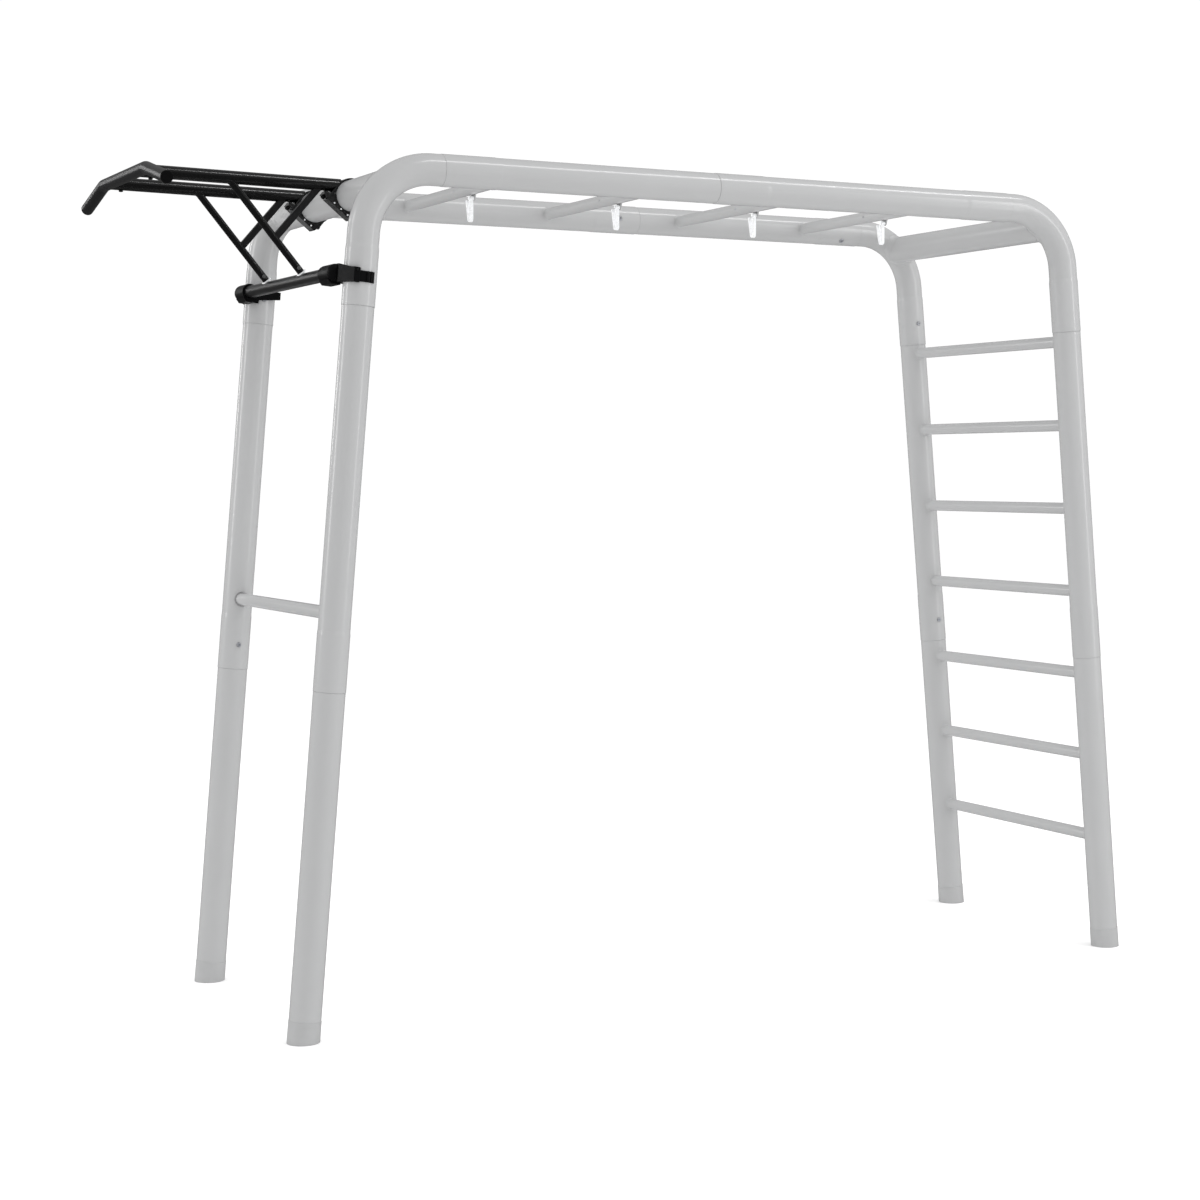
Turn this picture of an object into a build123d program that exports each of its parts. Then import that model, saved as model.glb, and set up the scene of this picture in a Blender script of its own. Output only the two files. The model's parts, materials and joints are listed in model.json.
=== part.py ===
"""Monkey bars: a tubular frame with a ladder end, overhead rungs with swing hooks, and a clamp-on pull-up bar.

The origin is on the ground under the middle of the whole length, +X runs along the bars towards the ladder
end, +Y across the bars and +Z up. Every piece is drawn with x measured from the middle of the main frame, and
is moved to the shared origin as it is written. Units are millimetres.
"""

import os
from math import acos, cos, degrees, radians, sin, tan

from build123d import *

# ---- driving dimensions: main frame ----
TUBE_R = 44.45          # 3 inch frame tube
WALL = 2.0
SOCKET_R = 45.4         # swaged-out tube end that takes the next tube
CORNER_SOCKET_R = 45.7
SOCKET_BORE_R = 43.5
SOCKET_LENGTH = 158.0
SWAGE_LENGTH = 12.0
SPIGOT_R = 43.35        # swaged-in tube end, hidden inside the socket
SPIGOT_LENGTH = 150.0
BEND_R = 198.0

RAIL_HEIGHT = 2396.2    # axis of the two top rails
KNEE_X = 1162.0         # where a rail axis would meet a leg axis
HALF_WIDTH = 452.0      # rail and leg planes stand at y = +/- this
LEG_LEAN = 5.03         # degrees, outwards in X
RAIL_JOINT_X = 952.0
MID_JOINT_X = 92.0
CORNER_JOINT_Z = 2013.0
LEG_JOINT_Z = 960.0
BOLT_SETBACK = 75.0     # bolt to the mouth of its socket

# ---- driving dimensions: rungs ----
RUNG_R = 18.35
RUNG_WALL = 2.0
OVERHEAD_RUNG_Z = RAIL_HEIGHT
OVERHEAD_RUNG_X = [-717.3 + 478.2 * i for i in range(4)]
LADDER_RUNG_Z = [365.2 + 269.6 * i for i in range(7)]
SIDE_RUNG_Z = 1174.0
RUNG_SCREW_Y = -10.0
CROSS_SCREW_Y = 395.0
CROSS_R = 44.4

# ---- driving dimensions: feet ----
FOOT_R = 45.45
FOOT_HEIGHT = 60.0
FOOT_FLOOR = 4.0
FOOT_CLEARANCE = 0.05

# ---- driving dimensions: bolts of the sleeve joints, and small screws ----
BOLT_R = 4.0
BOLT_HOLE_R = 4.2
BOLT_HEAD_R = 7.5
BOLT_HEAD_HEIGHT = 4.4
BOLT_GRIP = 9.0
SPOT_DEPTH = 0.65
SCREW_HEAD_R = 3.0
SCREW_HEAD_HEIGHT = 1.6
SCREW_R = 1.5

# ---- driving dimensions: swing hooks, one under each overhead rung ----
HOOK_Y = -100.5
PIN_Z = 2368.7
PIN_R = 2.5
PIN_CLEARANCE = 0.07
PIN_HEAD_R = 4.5
PIN_HEAD_HEIGHT = 1.8
EYE_R = 6.8
HOOK_HALF_THICKNESS = 6.2
HOOK_DEPTH = 6.2
HOOK_BOWL_R = 6.5
HOOK_TIP_REACH = 27.6
HOOK_CORNER_Z = -111.9
HOOK_NOTCH = 3.4
HANGER_GAP = 0.6
HANGER_THICKNESS = 4.0
HANGER_TIP_R = 8.3
HANGER_TOP = (-20.8, 32.3)

# ---- driving dimensions: pull-up attachment ----
BOOM_Y = 161.0
HANDLE_X = -1712.0
HANDLE_Z = 2381.9
HANDLE_R = 17.5
HANDLE_BEND_Y = 231.0
HANDLE_END_Y = 435.0
HANDLE_END_Z = 2334.8
HANDLE_BEND_R = 75.0
BOOM_FALL = 0.0139      # drop per unit run towards the frame
BOOM_END_X = -1142.0
STRUT_R = 10.3
STRUT_TOP = (-1466.4, 2377.9)
STRUT_FOOT = (-1259.8, 2124.7)
BRACE_SIZE = 19.0
BRACE_FOOT = (-1334.9, 2216.7)
BRACE_HEAD = (-1198.2, 2374.9)
LOWER_BAR_X = -1250.0
LOWER_BAR_Z = 2104.0
LOWER_BAR_R = 18.2
FOOT_PLATE_SIZE = 25.0
FOOT_PLATE_THICKNESS = 3.5
STRUT_BOLT_SETBACK = 14.0
STRUT_BOLT_HEAD_R = 5.5
BOOM_BOLT_SETBACK = 30.0

# ---- driving dimensions: clamps on the two left legs ----
CLAMP_Z = 2098.0
CLAMP_BORE_R = 45.85
CLAMP_HALF_WIDTH = 49.5
CLAMP_MOUTH = 17.0      # the body starts this far out from the leg axis
CLAMP_SHOULDER = 40.0
CLAMP_TOP = 15.5
CLAMP_BOTTOM = -25.0
CLAMP_CORNER_R = 3.0
SLANT_START = -4.0
SLANT_END = 34.0
NOSE_R = 24.8
NOSE_INNER_Y = 347.0
NOSE_OUTER_Y = 441.0
NOSE_ROUNDING = 15.0
BAR_END_Y = 417.5
KEEL = ((45.0, -30.0), (72.0, -30.0), (82.0, -18.0), (45.0, -18.0))
KEEL_OUTER_Y = 425.0
ARM_FACE = 50.6
ARM_THICKNESS = 4.7
ARM_REACH = 49.0
ARM_LOW = (-7.5, -15.5)
BAND_R = 48.2
BAND_END = -26.0
BAND_LOW = -22.5
BAND_HEIGHT = 30.5
RIB_STATIONS = [-4.0, -16.0]
RIB_WIDTH = 4.0
RIB_DEPTH = 1.2
TAB_THICKNESS = 2.0
TAB_REACH = 31.5
TAB_HEIGHT = 35.5
CHEEK_SCREW = (26.0, 9.0)

# ---- driving dimensions: clamps on the left cross tube ----
SADDLE_TILT = 40.0      # degrees; the saddle's flat faces down and outwards
SADDLE_HALF = 20.0
SADDLE_BORE_R = 44.6
SADDLE_BASE = -55.0
SADDLE_RIGHT = 43.0
STRAP_R = 50.5
FLANGE_EDGE = -64.0
FLANGE_BOLT = -57.0
STRAP_FLANGE = (-44.0, -38.0)
TAIL_SCREW = -34.0
TAIL_THICKNESS = 4.8
SADDLE_PIN_R = 1.8
SADDLE_PIN_DEPTH = -50.0

LEAN = radians(LEG_LEAN)
BEND_TURN = radians(90.0 - LEG_LEAN)
TANGENT = BEND_R * tan(BEND_TURN / 2)
CROSS_X = KNEE_X - TANGENT + BEND_R * sin(BEND_TURN / 2)
CROSS_Z = RAIL_HEIGHT - BEND_R + BEND_R * cos(BEND_TURN / 2)
FRAME_END = KNEE_X + RAIL_HEIGHT * tan(LEAN) + FOOT_R / cos(LEAN)
CENTRE_SHIFT = (HANDLE_R - HANDLE_X - FRAME_END) / 2    # puts the origin under the middle of the whole length
CORNERS = {"front_left": (-1, -1), "front_right": (1, -1), "back_left": (-1, 1), "back_right": (1, 1)}


def finish(piece, name):
    """Move a finished piece to the shared origin, label it and write its STEP file."""
    moved = Pos(CENTRE_SHIFT, 0, 0) * piece.part
    moved.label = name
    export_step(moved, f"parts/{name}.step")


def leg_point(side, row, z):
    """Point on a leg axis at height z; side is -1 or 1 in X, row is -1 or 1 in Y."""
    return Vector(side * (KNEE_X + (RAIL_HEIGHT - z) * tan(LEAN)), row * HALF_WIDTH, z)


def leg_up(side):
    return Vector(-side * sin(LEAN), 0, cos(LEAN))


def rod(start, end, radius, hole_r=0.0):
    """Round bar or tube from start to end."""
    start = Vector(*start)
    run = Vector(*end) - start
    with BuildPart() as bar:
        with BuildSketch(Plane(origin=start, z_dir=run)):
            Circle(radius)
            if hole_r:
                Circle(hole_r, mode=Mode.SUBTRACT)
        extrude(amount=run.length)
    return bar


def turned(start, direction, outline):
    """Turned tube: outline holds (radius, station) pairs, with stations measured along direction from start."""
    side = Vector(0, 1, 0)
    with BuildPart() as piece:
        with BuildSketch(Plane(origin=start, x_dir=side, z_dir=side.cross(direction))):
            with BuildLine():
                Polyline(*outline, close=True)
            make_face()
        revolve(axis=Axis(start, direction))
    return piece


def swaged_outline(length, far_end, socket_r=SOCKET_R):
    """Half section of a tube whose near end is a socket, and whose far end is a socket or a spigot."""
    inside_r = TUBE_R - WALL
    outer = [(SOCKET_BORE_R + 0.6, 0), (socket_r, 1.0), (socket_r, SOCKET_LENGTH), (TUBE_R, SOCKET_LENGTH + SWAGE_LENGTH)]
    inner = [(inside_r, SOCKET_LENGTH + SWAGE_LENGTH), (SOCKET_BORE_R, SOCKET_LENGTH), (SOCKET_BORE_R, 0)]
    if far_end == "socket":
        mirrored_outer = [(r, length - s) for r, s in reversed(outer)]
        mirrored_inner = [(r, length - s) for r, s in reversed(inner)]
        return outer + mirrored_outer + mirrored_inner + inner
    spigot_outer = [(TUBE_R, length - 0.8), (TUBE_R - 0.8, length), (SPIGOT_R, length), (SPIGOT_R, length + SPIGOT_LENGTH)]
    spigot_inner = [(SPIGOT_R - WALL, length + SPIGOT_LENGTH), (SPIGOT_R - WALL, length - SWAGE_LENGTH)]
    spigot_inner.append((inside_r, length - 2 * SWAGE_LENGTH))
    return outer + spigot_outer + spigot_inner + inner


def bore(point, direction, radius, depth):
    """Cut a round hole from point along direction in the piece being built."""
    start = Vector(*point)
    add(rod(start, start + Vector(*direction) * depth, radius).part, mode=Mode.SUBTRACT)


def bolt_hole(site):
    """Cut the clearance hole and the spot face of a joint bolt in the piece being built."""
    point, outward, surface_r = site
    bore(point, outward, BOLT_HOLE_R, TUBE_R + BOLT_GRIP)
    bore(point + outward * (surface_r - SPOT_DEPTH), outward, BOLT_HEAD_R + 0.1, BOLT_GRIP)


def headed(seat, outward, shank_r, grip, head_r, head_height, socket_r=0.0):
    """Bolt, screw or pin with its head's underside at seat and its shank running inwards from there."""
    with BuildPart() as bolt:
        with BuildSketch(Plane(origin=seat, z_dir=outward)):
            Circle(head_r)
        extrude(amount=head_height)
        crown = bolt.faces().sort_by(Axis(seat, outward))[-1]
        fillet(crown.edges(), head_height * 0.45)
        with BuildSketch(Plane(origin=seat, z_dir=-outward)):
            Circle(shank_r)
        extrude(amount=grip)
        if socket_r:
            with BuildSketch(Plane(origin=seat + outward * head_height, z_dir=-outward)):
                RegularPolygon(socket_r, 6)
            extrude(amount=head_height * 0.6, mode=Mode.SUBTRACT)
    return bolt


def mirrored(piece):
    """The back twin of a piece drawn on the front side."""
    with BuildPart() as twin:
        mirror(piece.part, about=Plane.XZ)
    return twin


def group(pieces):
    """One part that holds several separate solids of the same kind."""
    with BuildPart() as together:
        for piece in pieces:
            add(piece.part)
    return together


os.makedirs("parts", exist_ok=True)
bolt_sites = []


def corner_sites(side, row):
    """Bolt sites of one corner: rail socket, corner socket and leg socket, all on the inner side of the frame."""
    inward = Vector(0, -row, 0)
    below = Vector(0, -row * sin(radians(45)), -cos(radians(45)))
    up = leg_up(side)
    rail = (Vector(side * (RAIL_JOINT_X - BOLT_SETBACK), row * HALF_WIDTH, RAIL_HEIGHT), below, SOCKET_R)
    corner = (leg_point(side, row, CORNER_JOINT_Z) + up * BOLT_SETBACK, inward, CORNER_SOCKET_R)
    leg = (leg_point(side, row, LEG_JOINT_Z) + up * BOLT_SETBACK, inward, SOCKET_R)
    return rail, corner, leg


# ---- corner bends, legs and feet ----
for corner_name, (side, row) in CORNERS.items():
    up = leg_up(side)
    rail_site, corner_site, leg_site = corner_sites(side, row)
    bolt_sites += [rail_site, corner_site, leg_site]
    seam = leg_point(side, row, CORNER_JOINT_Z)
    joint = Vector(side * RAIL_JOINT_X, row * HALF_WIDTH, RAIL_HEIGHT)
    knee = Vector(side * KNEE_X, row * HALF_WIDTH, RAIL_HEIGHT)
    inboard = Vector(-side, 0, 0)
    swage_top = SOCKET_LENGTH + SWAGE_LENGTH

    with BuildPart() as corner_bend:
        with BuildLine() as bend_path:
            FilletPolyline(joint, knee, seam + up * swage_top, radius=BEND_R)
        with BuildSketch(Plane(origin=joint, z_dir=-inboard)):
            Circle(TUBE_R)
            Circle(TUBE_R - WALL, mode=Mode.SUBTRACT)
        sweep(path=bend_path.line)
        with BuildSketch(Plane(origin=seam, x_dir=(0, 1, 0), z_dir=Vector(0, 1, 0).cross(up))):
            with BuildLine():
                Polyline(
                    (SOCKET_BORE_R, 0),
                    (CORNER_SOCKET_R - 0.8, 0),
                    (CORNER_SOCKET_R, 0.8),
                    (CORNER_SOCKET_R, SOCKET_LENGTH),
                    (TUBE_R, swage_top),
                    (TUBE_R - WALL, swage_top),
                    (SOCKET_BORE_R, SOCKET_LENGTH),
                    close=True,
                )
            make_face()
        revolve(axis=Axis(seam, up))
        with BuildSketch(Plane(origin=joint, x_dir=(0, 1, 0), z_dir=Vector(0, 1, 0).cross(inboard))):
            with BuildLine():
                Polyline(
                    (TUBE_R - WALL, -SWAGE_LENGTH),
                    (TUBE_R - 0.5, -SWAGE_LENGTH),
                    (TUBE_R - 0.5, 0),
                    (SPIGOT_R, 0),
                    (SPIGOT_R, SPIGOT_LENGTH),
                    (SPIGOT_R - WALL, SPIGOT_LENGTH),
                    (SPIGOT_R - WALL, -SWAGE_LENGTH / 2),
                    close=True,
                )
            make_face()
        revolve(axis=Axis(joint, inboard))
        bolt_hole(rail_site)
        bolt_hole(corner_site)
    finish(corner_bend, f"corner_bend_{corner_name}")

    start = leg_point(side, row, LEG_JOINT_Z)
    length = (CORNER_JOINT_Z - LEG_JOINT_Z) / cos(LEAN)
    upper_leg = turned(start, up, swaged_outline(length, "spigot"))
    with upper_leg:
        bolt_hole(leg_site)
        bolt_hole(corner_site)
    finish(upper_leg, f"upper_leg_{corner_name}")

    base = leg_point(side, row, 0) + up * (FOOT_FLOOR / cos(LEAN) + TUBE_R * tan(LEAN))
    length = (start - base).length
    inside_r = TUBE_R - WALL
    lower_leg = turned(
        base,
        up,
        [
            (inside_r, 0),
            (TUBE_R, 0),
            (TUBE_R, length - 0.8),
            (TUBE_R - 0.8, length),
            (SPIGOT_R, length),
            (SPIGOT_R, length + SPIGOT_LENGTH),
            (SPIGOT_R - WALL, length + SPIGOT_LENGTH),
            (SPIGOT_R - WALL, length - SWAGE_LENGTH),
            (inside_r, length - 2 * SWAGE_LENGTH),
        ],
    )
    with lower_leg:
        bolt_hole(leg_site)
    finish(lower_leg, f"lower_leg_{corner_name}")

    sole = leg_point(side, row, 0)
    cap_height = FOOT_HEIGHT / cos(LEAN)
    foot_cap = turned(sole, up, [(0, -10), (FOOT_R, -10), (FOOT_R, cap_height), (0, cap_height)])
    with foot_cap:
        fillet(foot_cap.edges().group_by(Axis.Z)[-1], 0.8)
        bore(base, up, TUBE_R + FOOT_CLEARANCE, FOOT_HEIGHT)
        bore(Vector(sole.X, sole.Y, 0), Vector(0, 0, -1), 2 * FOOT_R, FOOT_HEIGHT)
    finish(foot_cap, f"foot_cap_{corner_name}")

# ---- top rails: each is a long tube with a socket at both ends and a short one that plugs into it ----
for rail_name, row in (("front", -1), ("back", 1)):
    seam_x = row * MID_JOINT_X
    along = Vector(-row, 0, 0)
    mid_site = (Vector(seam_x - row * BOLT_SETBACK, row * HALF_WIDTH, RAIL_HEIGHT), Vector(0, -row, 0), SOCKET_R)
    bolt_sites.append(mid_site)
    long_start = Vector(seam_x, row * HALF_WIDTH, RAIL_HEIGHT)
    long_length = RAIL_JOINT_X + MID_JOINT_X
    long_tube = turned(long_start, along, swaged_outline(long_length, "socket"))
    with long_tube:
        bolt_hole(mid_site)
        bolt_hole(corner_sites(-row, row)[0])
    finish(long_tube, f"top_tube_{rail_name}_long")

    short_start = Vector(row * RAIL_JOINT_X, row * HALF_WIDTH, RAIL_HEIGHT)
    short_length = RAIL_JOINT_X - MID_JOINT_X
    short_tube = turned(short_start, along, swaged_outline(short_length, "spigot"))
    with short_tube:
        bolt_hole(mid_site)
        bolt_hole(corner_sites(row, row)[0])
    finish(short_tube, f"top_tube_{rail_name}_short")


# ---- members that run across the frame, coped to the tubes that they meet ----
def cross_screw(side):
    """Seat and direction of the small screw on the outer face of a cross tube."""
    return Vector(side * (CROSS_X + CROSS_R), side * CROSS_SCREW_Y, CROSS_Z), Vector(side, 0, 0)


def coped_crossmember(x, z, radius, hole_r, half_length, seats):
    """Tube along Y at (x, z), cut to the two seat bars that it meets."""
    crossmember = rod((x, -half_length, z), (x, half_length, z), radius, hole_r)
    with crossmember:
        for seat in seats:
            add(seat.part, mode=Mode.SUBTRACT)
    return crossmember


for side, side_name in ((-1, "left"), (1, "right")):
    seats = []
    for row in (-1, 1):
        start = Vector(side * RAIL_JOINT_X, row * HALF_WIDTH, RAIL_HEIGHT)
        knee = Vector(side * KNEE_X, row * HALF_WIDTH, RAIL_HEIGHT)
        with BuildPart() as seat:
            with BuildLine() as seat_path:
                FilletPolyline(start, knee, leg_point(side, row, CORNER_JOINT_Z), radius=BEND_R)
            with BuildSketch(Plane(origin=start, z_dir=(side, 0, 0))):
                Circle(TUBE_R)
            sweep(path=seat_path.line)
        seats.append(seat)
    cross_tube = coped_crossmember(side * CROSS_X, CROSS_Z, CROSS_R, TUBE_R - WALL, HALF_WIDTH - 10, seats)
    with cross_tube:
        seat, outward = cross_screw(side)
        bore(seat, -outward, SCREW_R + 0.05, 2 * WALL)
    finish(cross_tube, f"cross_tube_{side_name}")

rail_seats = []
for row in (-1, 1):
    rail_seats.append(rod((-RAIL_JOINT_X, row * HALF_WIDTH, RAIL_HEIGHT), (RAIL_JOINT_X, row * HALF_WIDTH, RAIL_HEIGHT), TUBE_R))
    for mouth, inboard in ((RAIL_JOINT_X, -1), (-RAIL_JOINT_X, 1), (row * MID_JOINT_X, -row)):
        socket_end = (mouth + inboard * SOCKET_LENGTH, row * HALF_WIDTH, RAIL_HEIGHT)
        rail_seats.append(rod((mouth, row * HALF_WIDTH, RAIL_HEIGHT), socket_end, SOCKET_R))
for number, x in enumerate(OVERHEAD_RUNG_X, start=1):
    rung = coped_crossmember(x, OVERHEAD_RUNG_Z, RUNG_R, RUNG_R - RUNG_WALL, HALF_WIDTH - 20, rail_seats)
    with rung:
        bore(Vector(x - RUNG_R, RUNG_SCREW_Y, OVERHEAD_RUNG_Z), Vector(1, 0, 0), SCREW_R + 0.05, 2 * RUNG_WALL)
    finish(rung, f"overhead_rung_{number}")


def leg_rung(side, z):
    """Rung between the two legs of one end, coped to the leg tubes at that height."""
    seat_r = SOCKET_R if LEG_JOINT_Z < z - RUNG_R < LEG_JOINT_Z + SOCKET_LENGTH else TUBE_R
    seats = [rod(leg_point(side, row, z - 60), leg_point(side, row, z + 60), seat_r) for row in (-1, 1)]
    x = leg_point(side, 1, z).X
    return coped_crossmember(x, z, RUNG_R, RUNG_R - RUNG_WALL, HALF_WIDTH - 20, seats)


for number, z in enumerate(LADDER_RUNG_Z, start=1):
    finish(leg_rung(1, z), f"ladder_rung_{number}")
finish(leg_rung(-1, SIDE_RUNG_Z), "side_rung")

# ---- bolts of the sleeve joints, and the small screws of the rungs and cross tubes ----
frame_bolts = []
for point, outward, surface_r in bolt_sites:
    seat = point + outward * (surface_r - SPOT_DEPTH)
    frame_bolts.append(headed(seat, outward, BOLT_R, BOLT_GRIP, BOLT_HEAD_R, BOLT_HEAD_HEIGHT, 2.9))
for x in OVERHEAD_RUNG_X:
    seat = Vector(x - RUNG_R, RUNG_SCREW_Y, OVERHEAD_RUNG_Z)
    frame_bolts.append(headed(seat, Vector(-1, 0, 0), SCREW_R, RUNG_WALL, SCREW_HEAD_R, SCREW_HEAD_HEIGHT))
for side in (-1, 1):
    seat, outward = cross_screw(side)
    frame_bolts.append(headed(seat, outward, SCREW_R, WALL, SCREW_HEAD_R, SCREW_HEAD_HEIGHT))
finish(group(frame_bolts), "frame_bolts")

# ---- swing hooks: a gusset hanger under the rung, a headed pin, and a forked hook that swings on it ----
hangers = []
bright_pins = []
hanger_face = HOOK_HALF_THICKNESS + HANGER_GAP
for x in OVERHEAD_RUNG_X:
    pivot = Vector(x, HOOK_Y, PIN_Z)
    top = OVERHEAD_RUNG_Z - PIN_Z
    with BuildPart() as hanger:
        with BuildSketch(Plane(origin=pivot + Vector(hanger_face, 0, 0), x_dir=(0, 1, 0), z_dir=(1, 0, 0))):
            Circle(HANGER_TIP_R)
            with BuildLine():
                Polyline((HANGER_TOP[0], top), (-HANGER_TIP_R, 0), (HANGER_TIP_R, 0), (HANGER_TOP[1], top), close=True)
            make_face()
            Circle(PIN_R + 0.02, mode=Mode.SUBTRACT)
        extrude(amount=HANGER_THICKNESS)
        bore(pivot + Vector(0, -60, top), Vector(0, 1, 0), RUNG_R + 0.02, 120.0)
    hangers.append(hanger)
    pin_grip = 2 * hanger_face + HANGER_THICKNESS
    bright_pins.append(headed(pivot - Vector(hanger_face, 0, 0), Vector(-1, 0, 0), PIN_R, pin_grip, PIN_HEAD_R, PIN_HEAD_HEIGHT))
finish(group(hangers), "hook_hangers")

for number, x in enumerate(OVERHEAD_RUNG_X, start=1):
    pivot = Vector(x, HOOK_Y, PIN_Z)
    top = pivot + Vector(0, 0.5, -EYE_R + 1.5)
    corner = pivot + Vector(0, 1.5, HOOK_CORNER_Z)
    tip = pivot + Vector(0, HOOK_TIP_REACH, -5)
    with BuildPart() as hook:
        with BuildLine() as hook_path:
            FilletPolyline(top, corner, tip, radius=HOOK_BOWL_R)
        with BuildSketch(Plane(origin=top, x_dir=(1, 0, 0), z_dir=hook_path.line % 0)):
            RectangleRounded(2 * HOOK_HALF_THICKNESS, HOOK_DEPTH, 1.6)
        sweep(path=hook_path.line)
        with BuildSketch(Plane(origin=pivot - Vector(HOOK_HALF_THICKNESS, 0, 0), z_dir=(1, 0, 0))):
            Circle(EYE_R)
        extrude(amount=2 * HOOK_HALF_THICKNESS)
        bore(pivot - Vector(2 * HOOK_HALF_THICKNESS, 0, 0), Vector(1, 0, 0), PIN_R + PIN_CLEARANCE, 4 * HOOK_HALF_THICKNESS)
        with Locations(tip):
            Box(HOOK_NOTCH, 3 * HOOK_DEPTH, 12.0, mode=Mode.SUBTRACT)
    finish(hook, f"hook_{number}")

# ---- pull-up handle ----
with BuildPart() as handle:
    with BuildLine() as handle_path:
        FilletPolyline(
            (HANDLE_X, -HANDLE_END_Y, HANDLE_END_Z),
            (HANDLE_X, -HANDLE_BEND_Y, HANDLE_Z),
            (HANDLE_X, HANDLE_BEND_Y, HANDLE_Z),
            (HANDLE_X, HANDLE_END_Y, HANDLE_END_Z),
            radius=HANDLE_BEND_R,
        )
    with BuildSketch(Plane(origin=handle_path.line @ 0, z_dir=handle_path.line % 0)):
        Circle(HANDLE_R)
        Circle(HANDLE_R - RUNG_WALL, mode=Mode.SUBTRACT)
    sweep(path=handle_path.line)
finish(handle, "pull_up_handle")

handle_caps = []
for row in (-1, 1):
    end = Vector(HANDLE_X, row * HANDLE_END_Y, HANDLE_END_Z)
    outward = Vector(0, row * (HANDLE_END_Y - HANDLE_BEND_Y), HANDLE_END_Z - HANDLE_Z).normalized()
    handle_caps.append(headed(end, outward, HANDLE_R - RUNG_WALL - 0.1, 14.0, HANDLE_R, 3.0))
finish(group(handle_caps), "handle_end_caps")

# ---- booms, struts and braces: one truss on each side ----
attachment_bolts = []
foot_plates = []
strut_run = Vector(STRUT_FOOT[0] - STRUT_TOP[0], 0, STRUT_FOOT[1] - STRUT_TOP[1]).normalized()
brace_run = Vector(BRACE_HEAD[0] - BRACE_FOOT[0], 0, BRACE_HEAD[1] - BRACE_FOOT[1])
boom_run = Vector(1, 0, -BOOM_FALL).normalized()
lower_bar_seat = rod((LOWER_BAR_X, -BAR_END_Y, LOWER_BAR_Z), (LOWER_BAR_X, BAR_END_Y, LOWER_BAR_Z), LOWER_BAR_R)


def saddle_plane(row):
    """Plane across the left cross tube: x runs down along the saddle's flat, y runs up and into the frame."""
    tilt = radians(SADDLE_TILT)
    return Plane(origin=(-CROSS_X, row * BOOM_Y, CROSS_Z), x_dir=(cos(tilt), 0, -sin(tilt)), z_dir=(0, -1, 0))


for row, row_name in ((-1, "front"), (1, "back")):
    y = row * BOOM_Y
    boom_start = Vector(HANDLE_X, y, HANDLE_Z)
    boom_end = boom_start + boom_run * (BOOM_END_X - HANDLE_X)
    handle_seat = rod((HANDLE_X, y - 60, HANDLE_Z), (HANDLE_X, y + 60, HANDLE_Z), HANDLE_R)
    strap_seat = rod((-CROSS_X, y - 60, CROSS_Z), (-CROSS_X, y + 60, CROSS_Z), STRAP_R + 0.05)
    with BuildPart() as strap_clearance:
        with BuildSketch(saddle_plane(row)):
            with Locations((-STRAP_R / 2, -30)):
                Rectangle(STRAP_R + 0.1, 60)
            with Locations((FLANGE_BOLT, STRAP_FLANGE[1] - 9.9)):
                Rectangle(30, 20)
        extrude(amount=SADDLE_HALF + 0.1, both=True)
    boom = rod(boom_start, boom_end, RUNG_R, RUNG_R - RUNG_WALL)
    boom_bolt = boom_start + boom_run * BOOM_BOLT_SETBACK - Vector(0, 0, RUNG_R + 0.1)
    with boom:
        add(handle_seat.part, mode=Mode.SUBTRACT)
        add(strap_seat.part, mode=Mode.SUBTRACT)
        add(strap_clearance.part, mode=Mode.SUBTRACT)
        bore(boom_bolt, Vector(0, 0, 1), BOLT_R, 5.0)
    finish(boom, f"boom_{row_name}")
    attachment_bolts.append(headed(boom_bolt, Vector(0, 0, -1), BOLT_R - 0.05, 4.0, BOLT_HEAD_R - 1.5, BOLT_HEAD_HEIGHT, 2.9))

    boom_seat = rod(boom_start, boom_end, RUNG_R)
    strut_top = Vector(STRUT_TOP[0], y, STRUT_TOP[1])
    strut_foot = Vector(STRUT_FOOT[0], y, STRUT_FOOT[1])
    strut_bolt = strut_foot - strut_run * STRUT_BOLT_SETBACK - Vector(0, STRUT_R, 0)
    strut = rod(strut_top, strut_foot, STRUT_R, STRUT_R - RUNG_WALL)
    with strut:
        add(boom_seat.part, mode=Mode.SUBTRACT)
        bore(strut_bolt, Vector(0, 1, 0), BOLT_R, 5.0)
    finish(strut, f"strut_{row_name}")
    bright_pins.append(headed(strut_bolt, Vector(0, -1, 0), BOLT_R - 0.05, 4.0, STRUT_BOLT_HEAD_R, BOLT_HEAD_HEIGHT))

    with BuildPart() as foot_plate:
        with BuildSketch(Plane(origin=strut_foot, x_dir=(0, 1, 0), z_dir=strut_run)):
            RectangleRounded(FOOT_PLATE_SIZE, FOOT_PLATE_SIZE, 3.0)
        extrude(amount=FOOT_PLATE_THICKNESS)
        with BuildSketch(Plane(origin=strut_foot, z_dir=strut_run)):
            Circle(STRUT_R)
        extrude(amount=FOOT_PLATE_SIZE / 2)
        add(lower_bar_seat.part, mode=Mode.SUBTRACT)
    foot_plates.append(foot_plate)

    strut_seat = rod(strut_top, strut_foot, STRUT_R)
    brace_foot = Vector(BRACE_FOOT[0], y, BRACE_FOOT[1])
    with BuildPart() as brace:
        with BuildSketch(Plane(origin=brace_foot, x_dir=(0, 1, 0), z_dir=brace_run)):
            RectangleRounded(BRACE_SIZE, BRACE_SIZE, 2.5)
            RectangleRounded(BRACE_SIZE - 2 * RUNG_WALL, BRACE_SIZE - 2 * RUNG_WALL, 0.5, mode=Mode.SUBTRACT)
        extrude(amount=brace_run.length)
        add(boom_seat.part, mode=Mode.SUBTRACT)
        add(strut_seat.part, mode=Mode.SUBTRACT)
    finish(brace, f"brace_{row_name}")
finish(group(foot_plates), "strut_foot_plates")

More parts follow.
